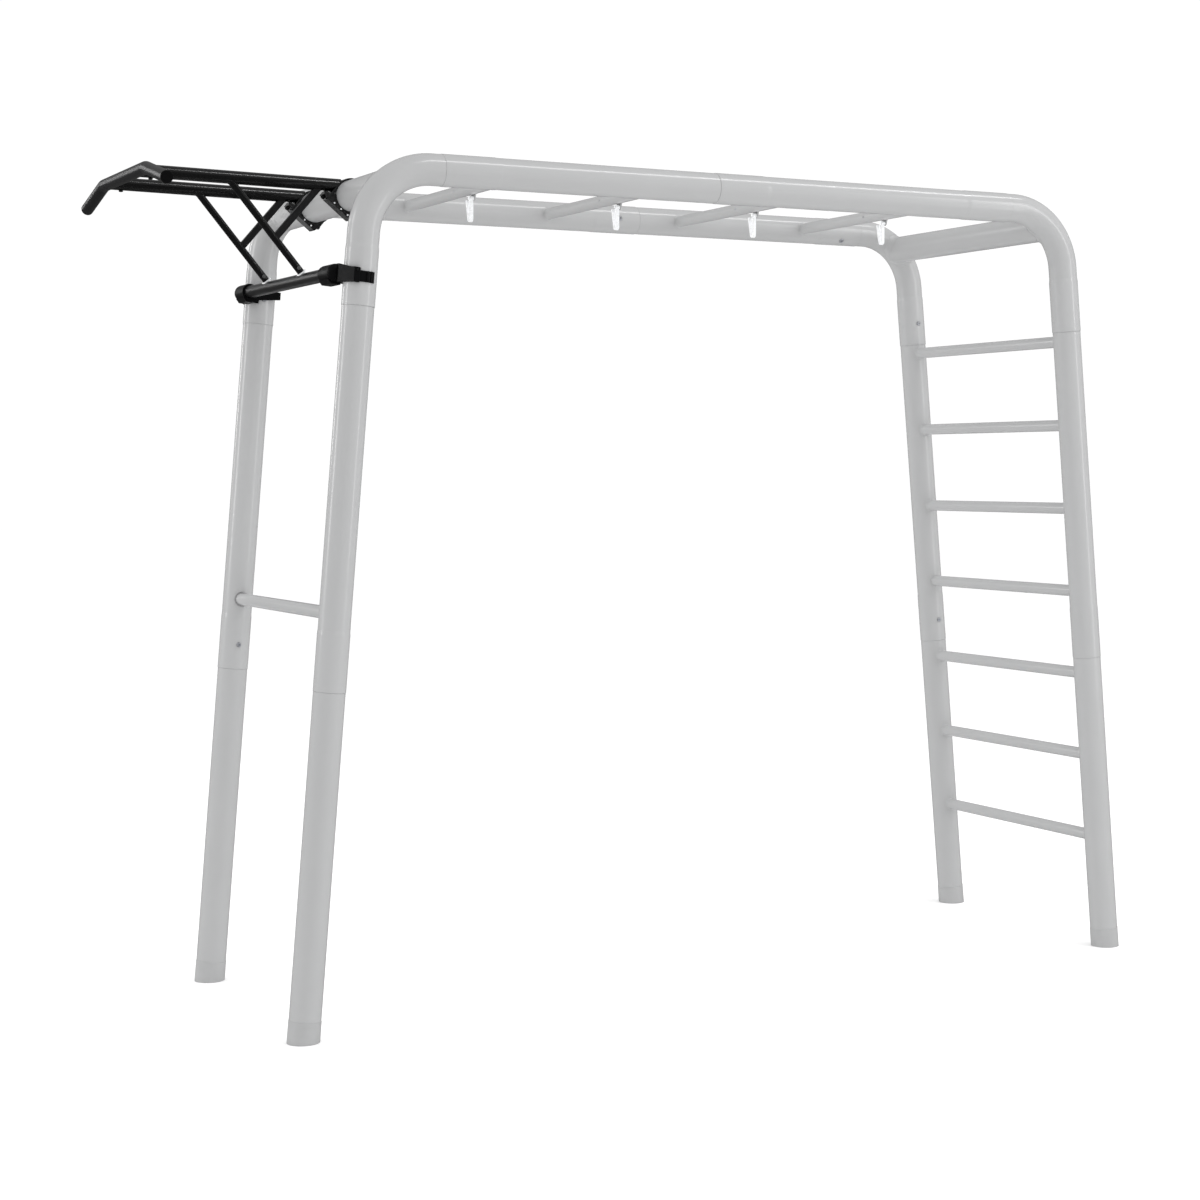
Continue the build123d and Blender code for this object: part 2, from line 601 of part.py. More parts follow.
# ---- upper clamps: a saddle below the left cross tube and a strap over it ----
for row, row_name in ((-1, "front"), (1, "back")):
    plane = saddle_plane(row)
    uphill = plane.y_dir
    downhill = plane.x_dir
    flange_bolt = plane.from_local_coords((FLANGE_BOLT, -52, 0))
    tail_screw = plane.from_local_coords((SADDLE_RIGHT + TAIL_THICKNESS, TAIL_SCREW, 0))
    flange_width = -SADDLE_BORE_R - FLANGE_EDGE

    with BuildPart() as strap:
        with BuildSketch(plane):
            Circle(STRAP_R)
            Circle(SADDLE_BORE_R, mode=Mode.SUBTRACT)
            with Locations((0, -60)):
                Rectangle(140, 96, mode=Mode.SUBTRACT)
            with Locations((-60, -30)):
                Rectangle(60, 60, mode=Mode.SUBTRACT)
            with Locations(((-STRAP_R - SADDLE_BORE_R) / 2, STRAP_FLANGE[1] / 2)):
                Rectangle(STRAP_R - SADDLE_BORE_R, 1 - STRAP_FLANGE[1])
            with Locations((-SADDLE_BORE_R - flange_width / 2, sum(STRAP_FLANGE) / 2)):
                Rectangle(flange_width, STRAP_FLANGE[1] - STRAP_FLANGE[0])
            with Locations((SADDLE_RIGHT + 0.2 + TAIL_THICKNESS / 2, -27)):
                Rectangle(TAIL_THICKNESS, 30)
        extrude(amount=SADDLE_HALF, both=True)
        bore(flange_bolt, uphill, BOLT_R, 30.0)
        bore(tail_screw - downhill * 14, downhill, BOLT_R, 20.0)
    finish(strap, f"upper_strap_{row_name}")

    with BuildPart() as saddle:
        with BuildSketch(plane):
            with BuildLine():
                Polyline(
                    (FLANGE_EDGE, -44.2),
                    (FLANGE_EDGE, -52),
                    (-50, -52),
                    (-47, SADDLE_BASE),
                    (40, SADDLE_BASE),
                    (SADDLE_RIGHT, -52),
                    (SADDLE_RIGHT, -18),
                    (0, -18),
                    (-44, -30),
                    (-44, -44.2),
                    close=True,
                )
            make_face()
            Circle(SADDLE_BORE_R, mode=Mode.SUBTRACT)
        extrude(amount=SADDLE_HALF, both=True)
        bore(flange_bolt, uphill, BOLT_R, 30.0)
        bore(tail_screw - downhill * 14, downhill, BOLT_R, 20.0)
        for along in (-25, 0, 25):
            bore(plane.from_local_coords((along, SADDLE_PIN_DEPTH, -SADDLE_HALF)), plane.z_dir, SADDLE_PIN_R, 2 * SADDLE_HALF)
    finish(saddle, f"upper_saddle_{row_name}")

    shank_r = BOLT_R - 0.05
    attachment_bolts.append(headed(flange_bolt, -uphill, shank_r, 13.5, BOLT_HEAD_R - 1.2, 8.0, 2.9))
    attachment_bolts.append(headed(tail_screw + downhill * 0.2, downhill, shank_r, 14.0, BOLT_HEAD_R - 2, 5.0, 2.4))
    for along in (-25, 0, 25):
        seat = plane.from_local_coords((along, SADDLE_PIN_DEPTH, SADDLE_HALF))
        bright_pins.append(headed(seat, plane.z_dir, SADDLE_PIN_R - 0.05, 2 * SADDLE_HALF, SADDLE_PIN_R + 0.6, 0.8))

# ---- lower bar and the clamps that hold it to the left legs: each is a moulded body and a sprung outer band ----
lower_bar = rod((LOWER_BAR_X, -BAR_END_Y, LOWER_BAR_Z), (LOWER_BAR_X, BAR_END_Y, LOWER_BAR_Z), LOWER_BAR_R, LOWER_BAR_R - RUNG_WALL)
finish(lower_bar, "lower_bar")

centre = leg_point(-1, -1, CLAMP_Z)
away = Vector(-cos(LEAN), 0, sin(LEAN))
up = leg_up(-1)
plan = Plane(origin=centre, x_dir=away, z_dir=up)                   # y runs to the outer side of the frame
profile = Plane(origin=centre, x_dir=away, z_dir=(0, 1, 0))         # y runs up the leg
nose_centre = profile.to_local_coords(Vector(LOWER_BAR_X, -HALF_WIDTH, LOWER_BAR_Z))
tab_middle = (TAB_REACH + CLAMP_MOUTH) / 2
tab_y = CLAMP_BORE_R + TAB_THICKNESS / 2
cheek_seat = plan.from_local_coords((CHEEK_SCREW[0], CLAMP_HALF_WIDTH, CHEEK_SCREW[1]))

with BuildPart() as nose:
    with BuildSketch(Plane(origin=(LOWER_BAR_X, -NOSE_INNER_Y, LOWER_BAR_Z), z_dir=(0, -1, 0))):
        Circle(NOSE_R)
    extrude(amount=NOSE_OUTER_Y - NOSE_INNER_Y)
    fillet(nose.faces().sort_by(Axis.Y)[0].edges(), NOSE_ROUNDING)
    fillet(nose.faces().sort_by(Axis.Y)[-1].edges(), 1.5)

with BuildPart() as clamp:
    with BuildSketch(plan.offset(-2 * NOSE_R)):
        with BuildLine():
            FilletPolyline(
                (CLAMP_MOUTH, -CLAMP_HALF_WIDTH),
                (nose_centre.X, -CLAMP_HALF_WIDTH),
                (nose_centre.X, SLANT_START),
                (SLANT_END, CLAMP_HALF_WIDTH),
                (CLAMP_MOUTH, CLAMP_HALF_WIDTH),
                radius=CLAMP_CORNER_R,
                close=True,
            )
        make_face()
    extrude(amount=4 * NOSE_R)
    with BuildSketch(profile):
        with BuildLine():
            Polyline(
                (CLAMP_MOUTH, CLAMP_BOTTOM),
                (CLAMP_MOUTH, CLAMP_TOP),
                (CLAMP_SHOULDER, CLAMP_TOP + 1),
                (nose_centre.X, nose_centre.Y + NOSE_R),
                (nose_centre.X, nose_centre.Y - NOSE_R),
                close=True,
            )
        make_face()
    extrude(amount=CLAMP_HALF_WIDTH, both=True, mode=Mode.INTERSECT)
    add(nose.part)
    with BuildSketch(profile.offset(HALF_WIDTH - NOSE_INNER_Y)):
        with BuildLine():
            Polyline(*KEEL, close=True)
        make_face()
    extrude(amount=NOSE_INNER_Y - KEEL_OUTER_Y)
    with BuildSketch(profile.offset(ARM_FACE)):
        with BuildLine():
            Polyline(
                (CLAMP_MOUTH + CLAMP_CORNER_R, CLAMP_TOP),
                (-ARM_REACH, CLAMP_TOP),
                (-ARM_REACH, ARM_LOW[0]),
                (CLAMP_MOUTH + CLAMP_CORNER_R, ARM_LOW[1]),
                close=True,
            )
        make_face()
    extrude(amount=-ARM_THICKNESS)
    bore((LOWER_BAR_X, -NOSE_INNER_Y + 1, LOWER_BAR_Z), (0, -1, 0), LOWER_BAR_R + 0.05, BAR_END_Y - NOSE_INNER_Y + 1.5)
    bore(centre - up * 60, up, CLAMP_BORE_R, 120.0)
    with BuildSketch(plan.offset(BAND_LOW - 0.1)):
        with Locations((tab_middle, tab_y)):
            Rectangle(TAB_REACH - CLAMP_MOUTH + 0.4, TAB_THICKNESS + 0.1)
    extrude(amount=TAB_HEIGHT + 0.2, mode=Mode.SUBTRACT)
    bore(cheek_seat, -plan.y_dir, SCREW_R + 0.05, 8.0)
    bolt_seat, bolt_outward, bolt_surface = corner_sites(-1, -1)[1]
    bore(bolt_seat, bolt_outward, BOLT_HEAD_R + 0.7, bolt_surface + BOLT_HEAD_HEIGHT - SPOT_DEPTH + 0.3)
finish(clamp, "leg_clamp_front")
finish(mirrored(clamp), "leg_clamp_back")

with BuildPart() as band:
    with BuildSketch(plan.offset(BAND_LOW)):
        Circle(BAND_R)
        for station in RIB_STATIONS:
            with PolarLocations(BAND_R + RIB_DEPTH / 2, 1, degrees(acos(station / BAND_R))):
                Rectangle(3 * RIB_DEPTH, RIB_WIDTH)
        Circle(CLAMP_BORE_R, mode=Mode.SUBTRACT)
        with Locations((2 * BAND_R, 0), (BAND_END - 2 * BAND_R, 0)):
            Rectangle(4 * BAND_R, 4 * BAND_R, mode=Mode.SUBTRACT)
        with Locations((0, -2 * BAND_R)):
            Rectangle(4 * BAND_R, 4 * BAND_R, mode=Mode.SUBTRACT)
        with Locations((CLAMP_MOUTH / 2, (BAND_R + CLAMP_BORE_R) / 2)):
            Rectangle(CLAMP_MOUTH, BAND_R - CLAMP_BORE_R)
    extrude(amount=BAND_HEIGHT)
    with BuildSketch(plan.offset(BAND_LOW)):
        with Locations((tab_middle, tab_y)):
            Rectangle(TAB_REACH - CLAMP_MOUTH, TAB_THICKNESS)
    extrude(amount=TAB_HEIGHT)
    bore(cheek_seat, -plan.y_dir, SCREW_R + 0.05, 8.0)
finish(band, "leg_band_front")
finish(mirrored(band), "leg_band_back")

cheek_screw = headed(cheek_seat, plan.y_dir, SCREW_R, 7.5, SCREW_HEAD_R, SCREW_HEAD_HEIGHT)
attachment_bolts += [cheek_screw, mirrored(cheek_screw)]
finish(group(attachment_bolts), "attachment_bolts")
finish(group(bright_pins), "bright_pins")
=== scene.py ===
"""Looks for the monkey bars: materials, weld beads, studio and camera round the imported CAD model."""

import json
import math

import bmesh
import bpy
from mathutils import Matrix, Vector


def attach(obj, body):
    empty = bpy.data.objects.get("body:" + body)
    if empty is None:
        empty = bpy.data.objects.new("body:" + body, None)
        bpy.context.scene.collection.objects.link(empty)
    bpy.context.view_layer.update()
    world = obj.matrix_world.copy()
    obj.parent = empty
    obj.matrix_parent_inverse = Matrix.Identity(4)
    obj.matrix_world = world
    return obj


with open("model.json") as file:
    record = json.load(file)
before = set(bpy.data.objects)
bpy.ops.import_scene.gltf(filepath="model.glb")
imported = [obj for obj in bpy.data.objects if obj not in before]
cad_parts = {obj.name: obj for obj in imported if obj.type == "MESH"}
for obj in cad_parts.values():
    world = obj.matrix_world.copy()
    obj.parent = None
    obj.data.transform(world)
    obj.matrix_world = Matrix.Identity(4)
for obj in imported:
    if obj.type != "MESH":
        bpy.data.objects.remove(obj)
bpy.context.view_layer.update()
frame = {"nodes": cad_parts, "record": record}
nodes = frame["nodes"]

# ---- where the object's pieces are, in metres, in the row's frame ----
SHIFT = 0.15548             # the main frame's middle lies this far towards the ladder end
RAIL_Z = 2.3962
RAIL_R = 0.04445
SOCKET_R = 0.0454
HALF_WIDTH = 0.452
KNEE_X = 1.162
LEAN = math.radians(5.03)
BEND_R = 0.198
BEND_TURN = math.pi / 2 - LEAN
TANGENT = BEND_R * math.tan(BEND_TURN / 2)
CROSS_X = KNEE_X - TANGENT + BEND_R * math.sin(BEND_TURN / 2)
CROSS_Z = RAIL_Z - BEND_R + BEND_R * math.cos(BEND_TURN / 2)
RUNG_R = 0.01835
RUNG_X = [-0.7173 + 0.4782 * i for i in range(4)]
LADDER_Z = [0.3652 + 0.2696 * i for i in range(7)]
SIDE_RUNG_Z = 1.174
LEG_JOINT_Z = 0.960
SOCKET_LENGTH = 0.158
RAIL_JOINT_X = 0.952
MID_JOINT_X = 0.092
CROSS_R = 0.0444            # the blends start just inside the cross tube's surface
BOOM_Y = 0.161
BOOM_R = 0.01835
BOOM_TIP = (-1.712, 2.3819)
BOOM_ROOT = (-1.142, 2.37398)
STRUT_R = 0.0103
STRUT_TOP = (-1.4664, 2.3779)
STRUT_FOOT = (-1.2598, 2.1247)
STRUT_BOLT_TOP = 2.2        # every pin above this height is bright zinc, the strut bolts below it carry painted shade: their zinc colour scaled down

# ---- weld beads, in metres ----
RUNG_WELD = 0.0045
CROSS_BLEND = 0.016
STRUT_WELD = 0.003
WELD_RIPPLE = 0.10
STRUT_RIPPLE = 0.08
RING_TURNS = 96
FILLET_STEPS = 7
PROUD = 0.0001              # how far a bead's edges stand off the surfaces
LIP = 0.0006                # how far its hidden back goes below them


def here(x, y, z):
    """A point of the row's frame from one measured from the middle of the main frame."""
    return Vector((x + SHIFT, y, z))


def leg_point(side, row, z):
    return here(side * (KNEE_X + (RAIL_Z - z) * math.tan(LEAN)), row * HALF_WIDTH, z)


# ---- materials ----
def new_material(name):
    mat = bpy.data.materials.new(name)
    mat.use_nodes = True
    tree = mat.node_tree
    tree.nodes.clear()
    out = tree.nodes.new("ShaderNodeOutputMaterial")
    bsdf = tree.nodes.new("ShaderNodeBsdfPrincipled")
    tree.links.new(bsdf.outputs["BSDF"], out.inputs["Surface"])
    coord = tree.nodes.new("ShaderNodeTexCoord")
    return mat, tree, bsdf, coord.outputs["Object"]


def noise(tree, vector, scale, detail=3.0, roughness=0.55, distortion=0.0):
    node = tree.nodes.new("ShaderNodeTexNoise")
    node.inputs["Scale"].default_value = scale
    node.inputs["Detail"].default_value = detail
    node.inputs["Roughness"].default_value = roughness
    node.inputs["Distortion"].default_value = distortion
    tree.links.new(vector, node.inputs["Vector"])
    return node.outputs["Fac"]


def ramp(tree, value, stops):
    """Colour ramp; stops are (position, (r, g, b)) pairs."""
    node = tree.nodes.new("ShaderNodeValToRGB")
    while len(node.color_ramp.elements) < len(stops):
        node.color_ramp.elements.new(0.5)
    for element, (position, colour) in zip(node.color_ramp.elements, stops):
        element.position = position
        element.color = (*colour, 1.0)
    tree.links.new(value, node.inputs["Fac"])
    return node.outputs["Color"]


def spread(tree, value, low, high):
    """Map a 0 to 1 value to low to high."""
    node = tree.nodes.new("ShaderNodeMapRange")
    node.inputs["From Min"].default_value = 0.3
    node.inputs["From Max"].default_value = 0.7
    node.inputs["To Min"].default_value = low
    node.inputs["To Max"].default_value = high
    tree.links.new(value, node.inputs["Value"])
    return node.outputs["Result"]


def bump(tree, height, strength, distance, previous=None):
    node = tree.nodes.new("ShaderNodeBump")
    node.inputs["Strength"].default_value = strength
    node.inputs["Distance"].default_value = distance
    tree.links.new(height, node.inputs["Height"])
    if previous is not None:
        tree.links.new(previous, node.inputs["Normal"])
    return node.outputs["Normal"]


def scaled(colour, factor):
    return tuple(min(1.0, c * factor) for c in colour)


def powder_coat(name, colour, rough, grain, grain_depth, vary, specular):
    """Powder coat or paint: slow colour drift, patchy gloss, orange peel and a fine grain."""
    mat, tree, bsdf, where = new_material(name)
    drift = noise(tree, where, 5.0, 4.0)
    tint = ramp(tree, drift, [(0.3, scaled(colour, 1 - vary)), (0.7, scaled(colour, 1 + vary))])
    tree.links.new(tint, bsdf.inputs["Base Color"])
    gloss = noise(tree, where, 38.0, 5.0, 0.6)
    low, high = rough * 0.93, rough * 1.07
    tree.links.new(spread(tree, gloss, low, high), bsdf.inputs["Roughness"])
    peel = bump(tree, noise(tree, where, 240.0, 2.0), 0.10, grain_depth * 3)
    fine = bump(tree, noise(tree, where, grain, 2.0, 0.6), 0.35, grain_depth, peel)
    tree.links.new(fine, bsdf.inputs["Normal"])
    bsdf.inputs["Specular IOR Level"].default_value = specular
    return mat


def moulded(name, colour, rough, vary, specular):
    """Moulded plastic with a spark-eroded texture."""
    mat, tree, bsdf, where = new_material(name)
    drift = noise(tree, where, 16.0, 4.0)
    tint = ramp(tree, drift, [(0.3, scaled(colour, 1 - vary)), (0.7, scaled(colour, 1 + vary))])
    tree.links.new(tint, bsdf.inputs["Base Color"])
    gloss = noise(tree, where, 90.0, 4.0)
    tree.links.new(spread(tree, gloss, rough * 0.88, rough * 1.12), bsdf.inputs["Roughness"])
    cells = tree.nodes.new("ShaderNodeTexVoronoi")
    cells.inputs["Scale"].default_value = 1300.0
    tree.links.new(where, cells.inputs["Vector"])
    pits = bump(tree, cells.outputs["Distance"], 0.35, 0.00008)
    fine = bump(tree, noise(tree, where, 520.0, 3.0), 0.3, 0.00006, pits)
    tree.links.new(fine, bsdf.inputs["Normal"])
    bsdf.inputs["Specular IOR Level"].default_value = specular
    return mat


def plated(name, colour, rough, stain, metallic):
    """Zinc plate or bare fastener steel: mottled colour, a few stains and a brushed grain."""
    mat, tree, bsdf, where = new_material(name)
    patches = noise(tree, where, 120.0, 6.0, 0.65, 0.4)
    tint = ramp(tree, patches, [(0.28, scaled(colour, 0.86)), (0.5, colour), (0.72, stain)])
    tree.links.new(tint, bsdf.inputs["Base Color"])
    gloss = noise(tree, where, 300.0, 4.0)
    tree.links.new(spread(tree, gloss, rough * 0.8, rough * 1.25), bsdf.inputs["Roughness"])
    stretch = tree.nodes.new("ShaderNodeMapping")
    stretch.inputs["Scale"].default_value = (1.0, 1.0, 12.0)
    tree.links.new(where, stretch.inputs["Vector"])
    brushed = bump(tree, noise(tree, stretch.outputs["Vector"], 420.0, 3.0), 0.18, 0.00008)
    tree.links.new(brushed, bsdf.inputs["Normal"])
    bsdf.inputs["Metallic"].default_value = metallic
    return mat


def darken_below(mat, height, factor):
    """Scale down a material's base colour below a height, fading in over 20 mm above it."""
    tree = mat.node_tree
    bsdf = next(node for node in tree.nodes if node.type == "BSDF_PRINCIPLED")
    tint = bsdf.inputs["Base Color"].links[0].from_socket
    split = tree.nodes.new("ShaderNodeSeparateXYZ")
    tree.links.new(tree.nodes.new("ShaderNodeTexCoord").outputs["Object"], split.inputs["Vector"])
    above = tree.nodes.new("ShaderNodeMapRange")
    above.inputs["From Min"].default_value = height
    above.inputs["From Max"].default_value = height + 0.02
    above.inputs["To Min"].default_value = factor
    tree.links.new(split.outputs["Z"], above.inputs["Value"])
    shade = tree.nodes.new("ShaderNodeVectorMath")
    shade.operation = "SCALE"
    tree.links.new(tint, shade.inputs["Vector"])
    tree.links.new(above.outputs["Result"], shade.inputs["Scale"])
    tree.links.new(shade.outputs["Vector"], bsdf.inputs["Base Color"])


FRAME_PAINT = powder_coat(
    "frame_paint", (0.403, 0.405, 0.408),
    rough=0.20, grain=1500.0, grain_depth=0.00001, vary=0.012, specular=0.35,
)
GLOSS_BLACK = powder_coat(
    "gloss_black", (0.002, 0.002, 0.0022),
    rough=0.20, grain=1100.0, grain_depth=0.00001, vary=0.12, specular=0.55,
)
MATTE_BLACK = powder_coat(
    "matte_black", (0.005, 0.005, 0.0055),
    rough=0.34, grain=1300.0, grain_depth=0.00003, vary=0.12, specular=0.33,
)
BLACK_PLASTIC = moulded("black_plastic", (0.003, 0.003, 0.0034), rough=0.40, vary=0.15, specular=0.10)
FOOT_PLASTIC = moulded("foot_plastic", (0.385, 0.387, 0.39), rough=0.5, vary=0.03, specular=0.5)
BRIGHT = {"colour": (0.93, 0.94, 0.95), "rough": 0.30, "stain": (0.96, 0.97, 1.0), "metallic": 0.12}
ZINC = plated("zinc", **BRIGHT)
PIN_ZINC_WITH_PAINTED_SHADE = plated("pin_zinc_with_painted_shade", **BRIGHT)
# Painted shade: below STRUT_BOLT_TOP the pins' zinc colour is scaled down to 8%, so the strut bolts look dim
darken_below(PIN_ZINC_WITH_PAINTED_SHADE, STRUT_BOLT_TOP, 0.08)
BOLT_STEEL = plated("bolt_steel", (0.33, 0.335, 0.35), rough=0.36, stain=(0.42, 0.45, 0.52), metallic=0.45)
BY_SLOT = {
    "frame_paint": FRAME_PAINT,
    "gloss_black": GLOSS_BLACK,
    "matte_black": MATTE_BLACK,
    "black_plastic": BLACK_PLASTIC,
    "foot_plastic": FOOT_PLASTIC,
    "zinc": ZINC,
    "bolt_steel": BOLT_STEEL,
}
for entry in frame["record"]["subparts"]:
    material = PIN_ZINC_WITH_PAINTED_SHADE if entry["node"] == "bright_pins" else BY_SLOT[entry["material_slot"]]
    mesh = nodes[entry["node"]].data
    mesh.materials.clear()
    mesh.materials.append(material)


# ---- weld beads: a fillet laid round each place where one tube meets another ----
def near_line(start, end, radius):
    """Distance of a point from the surface of an endless round bar through start and end."""
    along = (end - start).normalized()

    def distance(p):
        rise = p - start
        return (rise - along * rise.dot(along)).length - radius

    return distance


def near_bend(side, row):
    """Distance of a point from the surface of a corner bend."""
    centre = here(side * (KNEE_X - TANGENT), row * HALF_WIDTH, RAIL_Z - BEND_R)

    def distance(p):
        flat = math.hypot(p.x - centre.x, p.z - centre.z) - BEND_R
        return math.hypot(flat, p.y - centre.y) - RAIL_R

    return distance


def slope(distance, p):
    """Outward direction of a surface at p."""
    step = 1e-5
    sides = (Vector((step, 0, 0)), Vector((0, step, 0)), Vector((0, 0, step)))
    return Vector([distance(p + d) - distance(p - d) for d in sides]).normalized()


def meeting(start, along, distance, reach):
    """Where the line from start along a direction first enters the surface, within reach."""
    low, high = 0.0, reach
    for _ in range(40):
        middle = (low + high) / 2
        if distance(start + along * middle) > 0:
            low = middle
        else:
            high = middle
    return start + along * low


def fillet_ring(name, centre, along, radius, distance, size, material, reach, ripple=0.0):
    """Concave fillet between a round bar, which runs from centre along a direction, and a surface within reach.

    The ripple makes the bead's width vary round it, as a hand-laid weld's does.
    """
    along = along.normalized()
    side = along.orthogonal().normalized()
    other = along.cross(side)
    rows = []
    for turn in range(RING_TURNS):
        angle = 2 * math.pi * turn / RING_TURNS
        outward = side * math.cos(angle) + other * math.sin(angle)
        beads = math.sin(turn * 2 * math.pi / 3.2)
        drift = math.sin(turn * 1.7 + radius * 900)
        width = size * (1.0 + ripple * beads + ripple * 0.6 * drift)
        corner = meeting(centre + outward * radius, along, distance, reach)
        on_bar = corner - along * width
        spread_out = corner + outward * width
        on_surface = spread_out - slope(distance, spread_out) * distance(spread_out)
        first = on_bar + outward * PROUD
        pull = corner + (outward - along) * 2 * PROUD
        last = on_surface + slope(distance, on_surface) * PROUD
        line = []
        for step in range(FILLET_STEPS):
            t = step / (FILLET_STEPS - 1)
            line.append(first * (1 - t) ** 2 + pull * 2 * t * (1 - t) + last * t**2)
        line.append(on_surface - slope(distance, on_surface) * LIP)
        line.append(corner + along * LIP - outward * LIP)
        line.append(on_bar - outward * LIP)
        rows.append(line)
    bm = bmesh.new()
    rings = [[bm.verts.new(p) for p in line] for line in rows]
    count = len(rings[0])
    for i, ring in enumerate(rings):
        following = rings[(i + 1) % len(rings)]
        for j in range(count):
            k = (j + 1) % count
            bm.faces.new((ring[j], ring[k], following[k], following[j]))
    bmesh.ops.recalc_face_normals(bm, faces=bm.faces)
    piece(name, bm, material)


def piece(name, bm, material):
    """Finish a mesh as a smooth piece that rides on the frame."""
    mesh = bpy.data.meshes.new(name)
    bm.to_mesh(mesh)
    bm.free()
    mesh.materials.append(material)
    for polygon in mesh.polygons:
        polygon.use_smooth = True
    obj = bpy.data.objects.new(name, mesh)
    bpy.context.scene.collection.objects.link(obj)
    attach(obj, "frame")


def rail_radius(row, x):
    """Radius of a top rail at x, which is larger over its sockets."""
    in_end = RAIL_JOINT_X - SOCKET_LENGTH < abs(x) < RAIL_JOINT_X
    in_middle = 0 < (row * MID_JOINT_X - x) * row < SOCKET_LENGTH
    return SOCKET_R if in_end or in_middle else RAIL_R


ACROSS = Vector((0, 1, 0))


def rung_weld(name, start, row, surface, reach):
    """The bead round one end of a rung, whose axis reaches the surface a little way on from start."""
    fillet_ring(
        name, start, ACROSS * row, RUNG_R, surface, RUNG_WELD, FRAME_PAINT, reach, WELD_RIPPLE
    )


# The search for a surface starts this far from the axis of the tube it belongs to, and goes as far as REACH.
RUNG_START = 0.11
RAIL_REACH = 0.104
CROSS_START, CROSS_REACH = 0.13, 0.125
STRUT_START, STRUT_REACH = 0.07, 0.066
for row, row_name in ((-1, "front"), (1, "back")):
    for number, x in enumerate(RUNG_X, start=1):
        ends = (here(-1, row * HALF_WIDTH, RAIL_Z), here(1, row * HALF_WIDTH, RAIL_Z))
        rail = near_line(*ends, rail_radius(row, x))
        start = here(x, row * (HALF_WIDTH - RUNG_START), RAIL_Z)
        rung_weld(f"weld_overhead_{number}_{row_name}", start, row, rail, RAIL_REACH)
    for number, z in enumerate(LADDER_Z + [SIDE_RUNG_Z], start=1):
        side = -1 if z == SIDE_RUNG_Z else 1
        in_socket = LEG_JOINT_Z < z - RUNG_R < LEG_JOINT_Z + SOCKET_LENGTH
        ends = (leg_point(side, row, z - 0.1), leg_point(side, row, z + 0.1))
        leg = near_line(*ends, SOCKET_R if in_socket else RAIL_R)
        start = leg_point(side, row, z) - ACROSS * row * RUNG_START
        rung_weld(f"weld_ladder_{number}_{row_name}", start, row, leg, RUNG_START)
    for side, side_name in ((-1, "left"), (1, "right")):
        start = here(side * CROSS_X, row * (HALF_WIDTH - CROSS_START), CROSS_Z)
        fillet_ring(
            f"blend_cross_{side_name}_{row_name}", start, ACROSS * row, CROSS_R, near_bend(side, row),
            CROSS_BLEND, FRAME_PAINT, reach=CROSS_REACH,
        )

for row, row_name in ((-1, "front"), (1, "back")):
    tip = here(BOOM_TIP[0], row * BOOM_Y, BOOM_TIP[1])
    root = here(BOOM_ROOT[0], row * BOOM_Y, BOOM_ROOT[1])
    boom = near_line(tip, root, BOOM_R)
    top = here(STRUT_TOP[0], row * BOOM_Y, STRUT_TOP[1])
    foot = here(STRUT_FOOT[0], row * BOOM_Y, STRUT_FOOT[1])
    rise = (top - foot).normalized()
    fillet_ring(
        f"weld_strut_{row_name}", top - rise * STRUT_START, rise, STRUT_R, boom,
        STRUT_WELD, GLOSS_BLACK, STRUT_REACH, STRUT_RIPPLE,
    )

# ---- studio ----
WORLD_WHITE = 1.03          # seen by the camera and by diffuse light
WALLS = 0.12                # seen in reflections, up to a slight rise
CEILING = 0.35              # seen in reflections, high up
RISE = (0.05, 0.5)          # the heights of the reflected direction between which walls become ceiling
scene = bpy.context.scene
world = bpy.data.worlds.new("studio")
scene.world = world
world.use_nodes = True
sky = world.node_tree
direction = sky.nodes.new("ShaderNodeTexCoord")
split = sky.nodes.new("ShaderNodeSeparateXYZ")
sky.links.new(direction.outputs["Generated"], split.inputs["Vector"])
ceiling = sky.nodes.new("ShaderNodeMapRange")
ceiling.interpolation_type = "SMOOTHSTEP"
ceiling.inputs["From Min"].default_value = RISE[0]
ceiling.inputs["From Max"].default_value = RISE[1]
ceiling.inputs["To Min"].default_value = WALLS
ceiling.inputs["To Max"].default_value = CEILING
sky.links.new(split.outputs["Z"], ceiling.inputs["Value"])
ray = sky.nodes.new("ShaderNodeLightPath")
strength = sky.nodes.new("ShaderNodeMix")
sky.links.new(ray.outputs["Is Glossy Ray"], strength.inputs["Factor"])
strength.inputs["A"].default_value = WORLD_WHITE
sky.links.new(ceiling.outputs["Result"], strength.inputs["B"])
sky.nodes["Background"].inputs["Color"].default_value = (1.0, 1.0, 1.0, 1.0)
sky.links.new(strength.outputs["Result"], sky.nodes["Background"].inputs["Strength"])


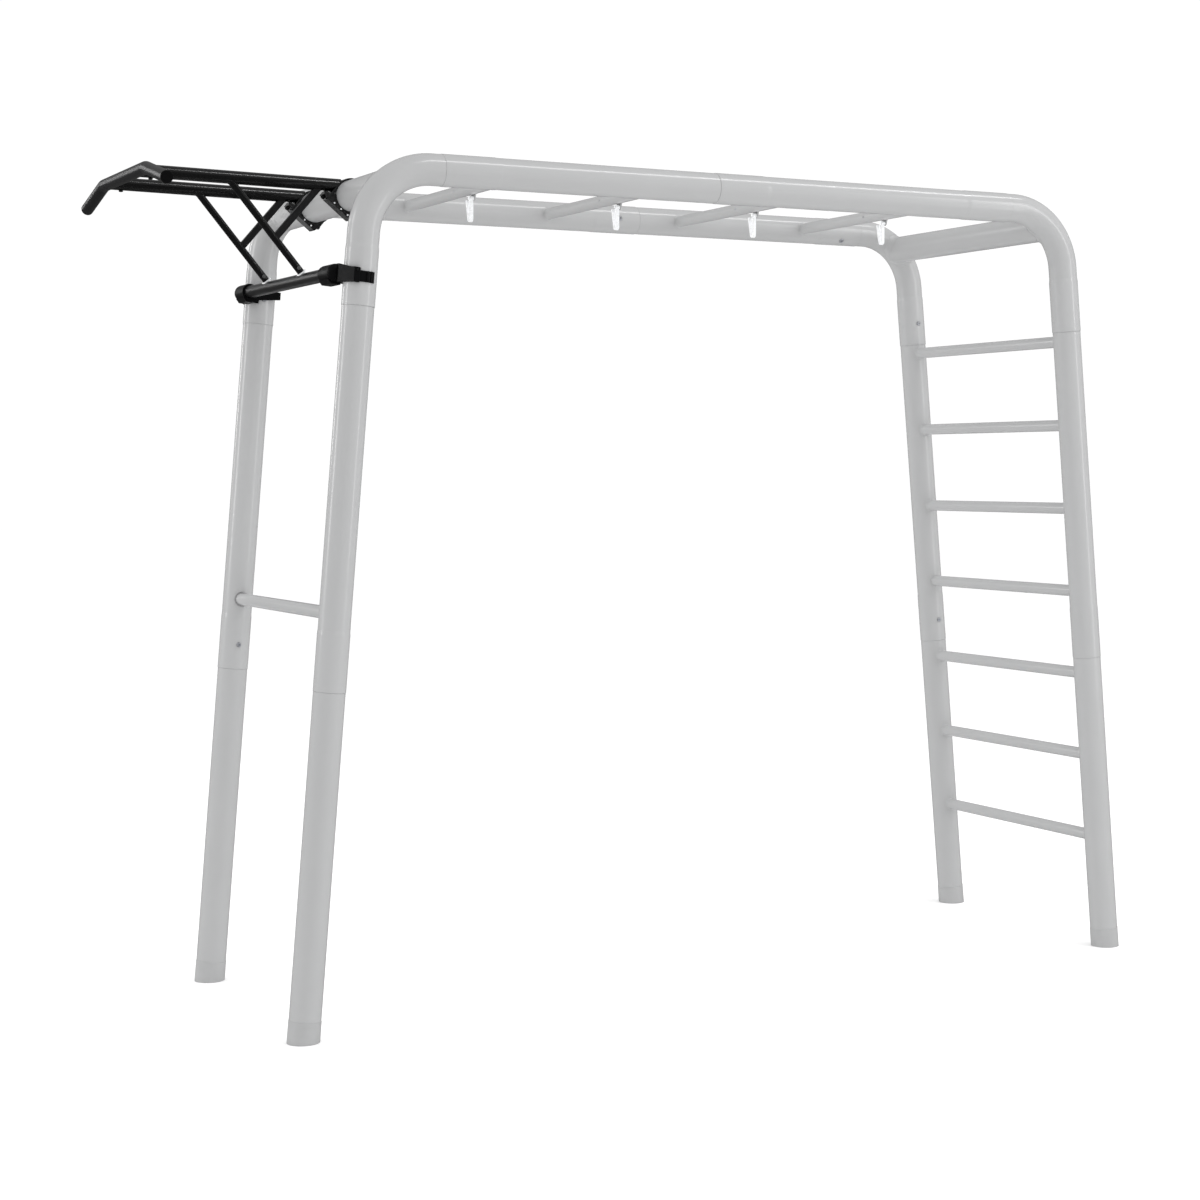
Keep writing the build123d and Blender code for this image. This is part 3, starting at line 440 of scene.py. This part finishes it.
def stage_plane(name, size, location, colour, glow):
    """A square matt plane that isn't part of the object: it glows slightly and reflections don't see it."""
    bm = bmesh.new()
    bmesh.ops.create_grid(bm, x_segments=1, y_segments=1, size=size)
    mesh = bpy.data.meshes.new(name)
    bm.to_mesh(mesh)
    bm.free()
    obj = bpy.data.objects.new(name, mesh)
    obj.location = location
    scene.collection.objects.link(obj)
    mat, tree, bsdf, where = new_material(name)
    tint = ramp(tree, noise(tree, where, 1.2, 2.0), [(0.3, colour), (0.7, scaled(colour, 1.01))])
    tree.links.new(tint, bsdf.inputs["Base Color"])
    bsdf.inputs["Roughness"].default_value = 0.9
    bsdf.inputs["Specular IOR Level"].default_value = 0.1
    tree.links.new(tint, bsdf.inputs["Emission Color"])
    bsdf.inputs["Emission Strength"].default_value = glow
    mesh.materials.append(mat)
    obj.visible_glossy = False


stage_plane("floor", 60.0, (0, 0, -0.0005), (0.93, 0.93, 0.93), 0.1)


def area_light(name, location, target, size, power):
    """A rectangular light that faces a point and that the camera doesn't see."""
    data = bpy.data.lights.new(name, "AREA")
    data.shape = "RECTANGLE"
    data.size, data.size_y = size
    data.energy = power
    obj = bpy.data.objects.new(name, data)
    obj.location = location
    obj.rotation_euler = (Vector(target) - Vector(location)).to_track_quat("-Z", "Y").to_euler()
    obj.visible_camera = False
    scene.collection.objects.link(obj)


# Each light: name, place, the point it faces, size in metres and power in watts. In turn they draw the line along
# the rails and booms, the line down the legs and struts, the legs' left rims, and the handle, lower bar and rungs.
LIGHTS = (
    ("strip_above", (2.9, -2.8, 7.9), (1.2, 0, 2.0), (5.5, 0.35), 150.0),
    ("strip_right", (4.9, -5.1, 2.9), (0, 0, 1.6), (0.3, 5.2), 85.0),
    ("left", (-7.0, 2.0, 3.5), (0, 0, 1.3), (1.2, 4.0), 105.0),
    ("behind_left", (-5.3, 7.8, 3.8), (-1.2, 0, 2.1), (1.5, 3.0), 80.0),
)
for light in LIGHTS:
    area_light(*light)

# ---- camera, to the left in front of the object ----
SENSOR_WIDTH = 36.0         # mm
LENS = 70.14                # mm
SHIFT_X, SHIFT_Y = -0.11667, 0.00797
CAMERA_PLACE = (-3.38024, -6.57737, 1.56015)
LOOK_DOWN = 0.0585          # radians below level
TURN_RIGHT = 0.5036         # radians from looking straight along +Y
camera = bpy.data.cameras.new("camera")
camera.sensor_width = SENSOR_WIDTH
camera.lens = LENS
camera.shift_x = SHIFT_X
camera.shift_y = SHIFT_Y
camera.clip_end = 200.0
camera_obj = bpy.data.objects.new("camera", camera)
camera_obj.location = here(*CAMERA_PLACE)
camera_obj.rotation_euler = (math.pi / 2 - LOOK_DOWN, 0.0, -TURN_RIGHT)
scene.collection.objects.link(camera_obj)
scene.camera = camera_obj
scene.view_settings.view_transform = "Standard"
scene.view_settings.look = "None"
scene.view_settings.exposure = 0.0
